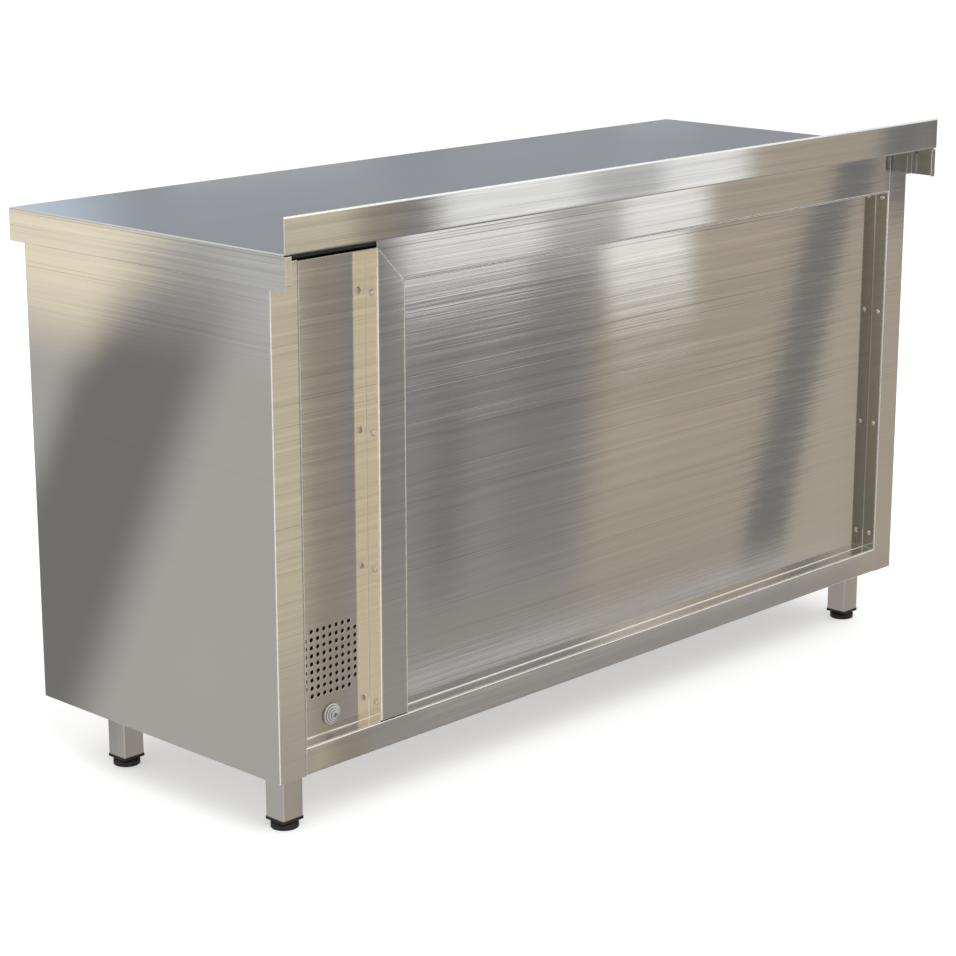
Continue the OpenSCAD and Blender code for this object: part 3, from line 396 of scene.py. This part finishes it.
# The grommet is a stepped cone, with a ring of painted shade at the foot of each step and a ring of painted
# highlight on each step
def grommetMaterial(name, look):
    material, t, shade, gloss, normal = mouldedPlastic(name, look)
    x, y, z = t.place()
    centre = sum(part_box("cable_grommet"), Vector()) / 2
    away = ((x - centre.x) * (x - centre.x) + (z - centre.z) * (z - centre.z)).root()
    pitch = (grommetRings["outer"] - grommetRings["inner"]) / grommetRings["steps"]
    turn = ((away - grommetRings["inner"]) / pitch).part()
    stepShade = turn.ease(0.62, 0.9) * (away < grommetRings["outer"])
    # Painted shade ring, then painted highlight ring
    shade = t.over(stepShade, shade, grommetRings["stepShade"])
    shade = t.over(turn.ease(0.35, 0.1) * 0.6, shade, grommetRings["shine"])
    t.finish(t.make("BsdfPrincipled", Base_Color=shade, Roughness=gloss, Normal=normal, Coat_Weight=0.4))
    return material


# Pressed mineral fibres
def mineralWool(name):
    material, t = newMaterial(name)
    x, y, z = t.place()
    strand = t.noise(t.vector(x * 300.0, y * 900.0, z * 300.0), detail=4, roughness=0.65)
    layer = t.noise(t.vector(x * 30.0, y * 260.0, z * 30.0), detail=2)
    shade = t.over(strand.ease(0.35, 0.7), (0.30, 0.24, 0.10), (0.62, 0.54, 0.30))
    shade = t.over(layer.ease(0.55, 0.75) * 0.4, shade, (0.22, 0.17, 0.07))
    normal = t.make("Bump", Strength=0.9, Distance=0.0012, Height=strand)
    t.finish(t.make("BsdfPrincipled", Base_Color=shade, Roughness=0.9 + layer * 0.05, Normal=normal))
    return material


# Amber lens, brighter towards its middle, where the lamp sits behind it
def lampLens(name):
    material, t = newMaterial(name)
    x, y, z = t.place()
    low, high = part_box("pilot_lamp")
    centre = (low + high) / 2
    away = abs(x - centre.x).most(abs(z - centre.z))
    facet = t.noise(t.vector(x, y, z), scale=700.0, detail=1)
    shade = t.over(away.ease(0.0, 0.008), (0.95, 0.42, 0.06), (0.55, 0.12, 0.01))
    normal = t.make("Bump", Strength=0.4, Distance=0.0002, Height=facet)
    t.finish(t.make("BsdfPrincipled", Base_Color=shade, Roughness=0.12 + facet * 0.08, Normal=normal,
                    Coat_Weight=0.6, Emission_Color=(0.9, 0.25, 0.03), Emission_Strength=0.25))
    return material


# Die-cast aluminium with small pits and oily shadows
def motorCasting(name):
    material, t = newMaterial(name)
    x, y, z = t.place()
    pit = t.noise(t.vector(x, y, z), scale=800.0, detail=4)
    stain = t.noise(t.vector(x, y, z), scale=40.0, detail=3)
    shade = t.over(stain.ease(0.4, 0.75), (0.52, 0.53, 0.54), (0.36, 0.35, 0.33))
    normal = t.make("Bump", Strength=0.6, Distance=0.0002, Height=pit)
    t.finish(t.make("BsdfPrincipled", Base_Color=shade, Metallic=0.9, Roughness=0.42 + pit * 0.2,
                    Normal=normal))
    return material


# Heater tube, tinted straw, brown and blue in uneven patches by its heat
def heaterTube(name):
    material, t = newMaterial(name)
    x, y, z = t.place()
    heat = t.noise(t.vector(x, y, z), scale=26.0, detail=3)
    scale = t.noise(t.vector(x, y, z), scale=900.0, detail=3)
    stops = [(0.3, (0.30, 0.23, 0.15)), (0.45, (0.22, 0.13, 0.09)), (0.56, (0.12, 0.11, 0.14)),
             (0.7, (0.16, 0.15, 0.14))]
    tint = t.make("ValToRGB", {"stops": stops}, Fac=heat)
    normal = t.make("Bump", Strength=0.5, Distance=0.0001, Height=scale)
    t.finish(t.make("BsdfPrincipled", Base_Color=tint, Metallic=0.85, Roughness=0.38 + scale * 0.2,
                    Normal=normal))
    return material


# Dark printed ink for the marks round the knob
def printInk(name, full, thin):
    material, t = newMaterial(name)
    x, y, z = t.place()
    speck = t.noise(t.vector(x, y, z), scale=1500.0, detail=2)
    shade = t.over(speck.ease(0.55, 0.8) * 0.3, full, thin)
    t.finish(t.make("BsdfPrincipled", Base_Color=shade, Roughness=0.5 + speck * 0.1))
    return material


finishes = {"worktop_steel": "worktopSteel", "body_steel": "bodySteel", "liner_steel": "linerSteel",
            "door_steel": "doorSteel", "track_steel": "trackSteel", "leg_steel": "legSteel",
            "black_plastic": "blackPlastic", "control_plastic": "controlPlastic", "nylon": "nylon",
            "grommet_rubber": "grommetRubber", "terminal_plastic": "terminalPlastic",
            "screw_steel": "screwSteel", "core_board": "coreBoard", "mineral_wool": "mineralWool",
            "lamp_lens": "lampLens", "motor_casting": "motorCasting", "heater_tube": "heaterTube"}


def makeMaterials():
    made = {name: brushedSteel(name, look) for name, look in steelLooks.items()}
    made.update({name: plasticMaterial(name, look) for name, look in plasticLooks.items()})
    for maker in (screwSteel, coreBoard, mineralWool, lampLens, motorCasting, heaterTube):
        made[maker.__name__] = maker(maker.__name__)
    made["ringedRubber"] = grommetMaterial("ringedRubber", plasticLooks["grommetRubber"])
    made["rockerPlastic"] = rockerMaterial("rockerPlastic", plasticLooks["controlPlastic"])
    made["darkInk"] = printInk("darkInk", (0.02, 0.02, 0.022), (0.06, 0.06, 0.06))
    made["knobPlastic"] = knobMaterial("knobPlastic", plasticLooks["controlPlastic"])
    return made


# Nodes with a finish of their own; the handles' darker steel is painted shade
ownFinish = {"thermostat_knob": "knobPlastic", "switch_rocker": "rockerPlastic",
             "cable_grommet": "ringedRubber",
             "left_door_handle": "shadedHandleSteel", "right_door_handle": "shadedHandleSteel"}


def dressNodes(made):
    for part in frame["record"]["subparts"]:
        piece = nodes[part["node"]]
        name = ownFinish.get(part["node"], finishes[part["material_slot"]])
        piece.data.materials.clear()
        piece.data.materials.append(made[name])


materials = makeMaterials()
dressNodes(materials)
print("materials made:", len(materials))


def meshPiece(name, points, faces, material, body):
    mesh = bpy.data.meshes.new(name)
    mesh.from_pydata(points.tolist(), [], faces.tolist())
    mesh.update()
    piece = bpy.data.objects.new(name, mesh)
    bpy.context.scene.collection.objects.link(piece)
    mesh.materials.append(material)
    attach(piece, body)
    return piece


dialMarks = {"count": 22, "longEvery": 3, "sweep": 270.0, "inner": 0.0240, "short": 0.0030, "long": 0.0055,
             "width": 0.0014, "thick": 0.00015, "bezel": 0.0022}
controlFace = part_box("switch_housing")[0].y + dialMarks["bezel"]  # the panel's face, behind the bezel


# A box for each mark, from its corners' places along it, across it and out of the panel
def markPiece(name, middle, along, width, angle, ink):
    sign = np.array([(i, j, k) for i in (0, 1) for j in (-0.5, 0.5) for k in (0, 1)], dtype=float)
    start, length = along
    run = start[:, None] + sign[None, :, 0] * length[:, None]
    side = np.broadcast_to(sign[None, :, 1] * width, run.shape)
    c, s = np.cos(angle)[:, None], np.sin(angle)[:, None]
    x = middle[0] + run * c - side * s
    z = middle[2] + run * s + side * c
    y = np.broadcast_to(middle[1] - sign[None, :, 2] * dialMarks["thick"], run.shape)
    quad = np.array([(0, 1, 3, 2), (4, 6, 7, 5), (0, 4, 5, 1), (2, 3, 7, 6), (0, 2, 6, 4), (1, 5, 7, 3)])
    faces = (quad[None] + 8 * np.arange(len(angle))[:, None, None]).reshape(-1, 4)
    return meshPiece(name, np.stack([x, y, z], -1).reshape(-1, 3), faces, materials[ink], "cabinet")


# A tick for each step of the dial, longer at every third, on the panel's face
def makeDialMarks():
    d = dialMarks
    centre = sum(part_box("thermostat_knob"), Vector()) / 2
    step = np.arange(d["count"])
    angle = np.radians(90 + d["sweep"] / 2 - step * d["sweep"] / (d["count"] - 1))
    length = np.where(step % d["longEvery"] == 0, d["long"], d["short"])
    start = np.full(length.shape, d["inner"])
    return markPiece("dialMarks", (centre.x, controlFace, centre.z), (start, length), d["width"], angle,
                     "darkInk")


makeDialMarks()
print("dial marks made")


viewpoint = {"place": (2.928, 2.735, 1.413), "aim": (0.310, 0.227, 0.453), "lens": 95.3, "sensor": 36.0,
             "clip": 200}


def makeCamera():
    camera = bpy.data.cameras.new("camera")
    camera.lens = viewpoint["lens"]
    camera.sensor_width = viewpoint["sensor"]
    camera.clip_end = viewpoint["clip"]
    holder = bpy.data.objects.new("camera", camera)
    bpy.context.scene.collection.objects.link(holder)
    place, aim = (np.array(viewpoint[k]) for k in ("place", "aim"))
    holder.location = place
    holder.rotation_mode = "QUATERNION"
    holder.rotation_quaternion = Vector(aim - place).to_track_quat("-Z", "Y")
    bpy.context.scene.camera = holder


def stagePlane(name, corners, material):
    mesh = bpy.data.meshes.new(name)
    mesh.from_pydata(corners, [], [(0, 1, 2, 3)])
    mesh.materials.append(material)
    plane = bpy.data.objects.new(name, mesh)
    bpy.context.scene.collection.objects.link(plane)
    return plane


floorLook = {"reach": 40.0, "tone": (0.80, 0.80, 0.80), "lift": 0.42}


# Pale floor. Seen by the camera it is lifted to white where it is lit, and keeps the shadow.
def makeFloor():
    material, t = newMaterial("floor")
    seen = t.make("LightPath", output="Is Camera Ray")
    body = t.make("BsdfDiffuse", Color=floorLook["tone"])
    glow = t.make("Emission", Color=(1.0, 1.0, 1.0), Strength=seen * floorLook["lift"])
    t.finish(t.make("AddShader", n0=body, n1=glow))
    r = floorLook["reach"]
    floor = stagePlane("floor", [(-r, -r, 0), (r, -r, 0), (r, r, 0), (-r, r, 0)], material)
    floor.visible_glossy = False


# An upright flag that only reflections see, painted with soft patches of light
def makeFlag(name, corners, paint):
    material, t = newMaterial(name)
    t.finish(t.make("Emission", Color=paint(t), Strength=1.0))
    flag = stagePlane(name, corners, material)
    flag.visible_camera = False
    flag.visible_diffuse = False
    flag.visible_shadow = False
    flag.visible_transmission = False
    flag.visible_volume_scatter = False


tones = {"grey": (0.312, 0.303, 0.298), "pale": (0.370, 0.350, 0.335), "dark": (0.232, 0.226, 0.222),
         "beige": (0.485, 0.425, 0.345), "wheat": (0.520, 0.463, 0.385),
         "umber": (0.345, 0.310, 0.255), "straw": (0.680, 0.610, 0.465), "honey": (0.76, 0.695, 0.565),
         "cream": (1.03, 0.93, 0.73), "silver": (0.515, 0.505, 0.485), "ash": (0.63, 0.63, 0.625),
         "white": (1.04, 1.035, 1.02)}
flags = {"back": 0.805, "right": 1.085, "front": -1.0, "left": -2.0, "far": -5.0, "low": -1.2, "high": 0.93}


sheetThick = 0.0012
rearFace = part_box("main_rear_panel")[0].y + sheetThick
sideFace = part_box("right_side_panel")[1].x

# Patches on the two painted flags, in painting order: tone, strength, then the limits. A limit
# with two numbers fades in from the first to the second. One with three is a band: its centre,
# half its width and its soft edge. Places are as they show on the cabinet's faces, in metres.
rearPatches = [
    ("pale", 1.0, ("height", 0.52, 0.16)),
    ("ash", 0.9, ("height", 0.163, 0.016, 0.022), ("width", 0.49, 0.46)),  # pale strip low down
    ("dark", 0.85, ("tilted", 0.372, 0.035, 0.05), ("height", 0.46, 0.16, 0.14)),
    ("dark", 0.5, ("tilted", 0.28, 0.20), ("height", 0.22, 0.36)),
    ("beige", 1.0, ("tilted", 0.105, 0.005), ("height", 0.10, 0.30)),  # the warm far half
    ("wheat", 0.6, ("width", -0.04, 0.05, 0.12), ("height", 0.48, 0.10, 0.2)),
    ("wheat", 1.0, ("leaning", -0.53, -0.56), ("height", 0.10, 0.20)),
    ("beige", 0.8, ("width", -0.59, -0.64)),
    ("dark", 1.0, ("leaning", -0.474, 0.060, 0.012), ("height", 0.13, 0.24)),  # slanting dark band
    ("ash", 1.0, ("height", 0.69, 0.84), ("width", 0.14, 0.30, 0.10)),  # pale patches near the top
    ("white", 1.0, ("height", 0.69, 0.84), ("width", 0.36, 0.15, 0.09)),
    ("white", 1.0, ("streak", -0.075, 0.10, 0.06), ("height", 0.60, 0.74)),
    ("dark", 0.35, ("width", 0.485, 0.55), ("height", 0.30, 0.50)),  # the stile's upper part
    ("umber", 1.0, ("width", 0.56, 0.60)),  # the service bay
    ("straw", 1.0, ("width", 0.655, 0.685)),  # the corner post
    ("straw", 0.3, ("width", 0.685, 0.67), ("width", 0.62, 0.66)),
    ("grey", 0.55, ("width", 0.665, 0.685), ("height", 0.42, 0.12)),
    ("dark", 1.0, ("width", -0.63, -0.67), ("height", 0.70, 0.78)),  # above the tray's far end
    ("honey", 1.0, ("width", 1.0, 1.1)),
]
sidePatches = [
    ("dark", 1.0, ("leaning", 0.10, -0.04), ("height", 0.86, 0.64)),  # slanting dark field
    ("silver", 1.0, ("leaning", -0.20, -0.30), ("height", 0.30, 0.48)),
    ("cream", 1.0, ("glow", -0.06, 0.11)),  # bright upper corner
    ("ash", 0.7, ("height", 0.62, 0.80), ("width", 0.12, 0.26)),
    ("honey", 1.0, ("flagSide", 0.56, 0.66)),  # beyond the end panel, for the recess walls only
]


# The places are where the flag's spots show in the face it stands before, seen from the
# photograph's viewpoint. They follow from the ratio of the two distances.
def mirrored(spot, flag, face, viewer, across):
    ratio = (flag - face) / (viewer - face)
    return (spot + across * ratio) / (1 + ratio)


def paintPatches(t, base, patches, places):
    shade = tones[base]
    for tone, mask, *limits in patches:
        for place, *numbers in limits:
            fade = places[place].ease if len(numbers) == 2 else places[place].strip
            mask = fade(*numbers) * mask
        shade = t.over(mask, shade, tones[tone])
    return shade


def paintRear(t):
    x, y, z = t.place()
    viewX, viewY, viewZ = viewpoint["place"]
    width = mirrored(x, flags["back"], rearFace, viewY, viewX)
    height = mirrored(z, flags["back"], rearFace, viewY, viewZ)
    up = height - 0.5
    places = {"width": width, "height": height, "tilted": width + up * 0.10, "leaning": width + up * 0.284,
              "streak": width + (0.70 - height) * 0.05}
    return paintPatches(t, "grey", rearPatches, places)


def paintSide(t):
    x, y, z = t.place()
    viewX, viewY, viewZ = viewpoint["place"]
    width = mirrored(y, flags["right"], sideFace, viewX, viewY)
    height = mirrored(z, flags["right"], sideFace, viewX, viewZ)
    places = {"width": width, "height": height, "leaning": width - (height - 0.5) * 0.55,
              "glow": height - 0.66 - (width + 0.14).most(0.0) * 0.85, "flagSide": y}
    return paintPatches(t, "silver", sidePatches, places)


# Soft slanting bands for the sides that the photograph doesn't show
def paintBands(axis, phase):
    def paint(t):
        place = t.place()
        s, z = place[axis], place[2]
        lean = s + z * 0.28 + phase
        wide = t.noise(t.vector(lean * 1.3, z * 0.15), detail=1)
        thin = t.noise(t.vector(lean * 3.4 + 7.0, z * 0.1), detail=1)
        shade = t.over(wide.ease(0.42, 0.58), tones["grey"], tones["beige"])
        shade = t.over(thin.ease(0.56, 0.64), shade, tones["silver"])
        shade = t.over(thin.ease(0.42, 0.36), shade, tones["dark"])
        window = t.noise(t.vector(lean * 1.9 + 3.0, 0.5), detail=0).ease(0.46, 0.54)
        return t.over(z.ease(0.45, 0.85) * window, shade, tones["white"])
    return paint


def makeFlags():
    back, right, front, left = (flags[side] for side in ("back", "right", "front", "left"))
    for name, ends, paint in (("flagBack", ((flags["far"], back), (right, back)), paintRear),
                              ("flagRight", ((right, front), (right, back)), paintSide),
                              ("flagFront", ((left, front), (right, front)), paintBands(0, 0.4)),
                              ("flagLeft", ((left, front), (left, back)), paintBands(1, 2.3))):
        low, high = [[(*end, flags[level]) for end in ends] for level in ("low", "high")]
        makeFlag(name, low + high[::-1], paint)


sky = {"soft": 0.78, "cool": (0.33, 0.35, 0.385), "patch": (0.62, 0.74, 0.86), "high": (1.0, 1.0, 0.99),
       "mist": (0.355, 0.385, 0.44), "rear": (0.95, 0.94, 0.92), "under": (0.10, 0.098, 0.095),
       "mistBand": (-137.0, 2.5, 7.0), "patchBand": (-125.6, 1.8, 2.6)}  # degrees round the sky


# White for the camera, even soft light for matt surfaces, and a cool sky for reflections
def makeSky():
    world = bpy.data.worlds.new("studio")
    bpy.context.scene.world = world
    t = Tree(world)
    direction = t.make("TexCoord", output="Generated")
    x, y, z = [t.make("SeparateXYZ", output=axis, Vector=direction) for axis in "XYZ"]
    turn = y.maths("ARCTAN2", y, x) * (180 / math.pi)
    shade = t.over(turn.strip(*sky["mistBand"]) * 0.35, sky["cool"], sky["mist"])
    shade = t.over(turn.strip(*sky["patchBand"]), shade, sky["patch"])
    shade = t.over(y.ease(-0.1, 0.2), shade, sky["rear"])
    shade = t.over(z.ease(0.26, 0.62), shade, sky["high"])
    shade = t.over(z.ease(-0.25, -0.5), shade, sky["under"])
    glossy = t.make("LightPath", output="Is Glossy Ray")
    seen = t.make("LightPath", output="Is Camera Ray")
    even = t.over(seen, (sky["soft"],) * 3, (1.0, 1.0, 1.0))
    t.finish(t.make("Background", Color=t.over(glossy, even, shade), Strength=1.0), "OutputWorld")


lamps = [
    {"name": "keyLamp", "place": (1.6, 2.6, 3.6), "aim": (0, 0, 0.4), "size": 2.4, "watts": 70},
    {"name": "fillLamp", "place": (-2.8, -3.0, 3.0), "aim": (0, 0, 0.4), "size": 3.0, "watts": 45},
]


def makeLamps():
    for lamp in lamps:
        light = bpy.data.lights.new(lamp["name"], "AREA")
        light.size = lamp["size"]
        light.energy = lamp["watts"]
        holder = bpy.data.objects.new(lamp["name"], light)
        bpy.context.scene.collection.objects.link(holder)
        holder.location = lamp["place"]
        holder.rotation_mode = "QUATERNION"
        holder.rotation_quaternion = (Vector(lamp["aim"]) - Vector(lamp["place"])).to_track_quat("-Z", "Y")
        holder.visible_glossy = False


makeCamera()
makeFloor()
makeFlags()
makeSky()
makeLamps()
bpy.context.scene.view_settings.view_transform = "Standard"
print("studio ready")
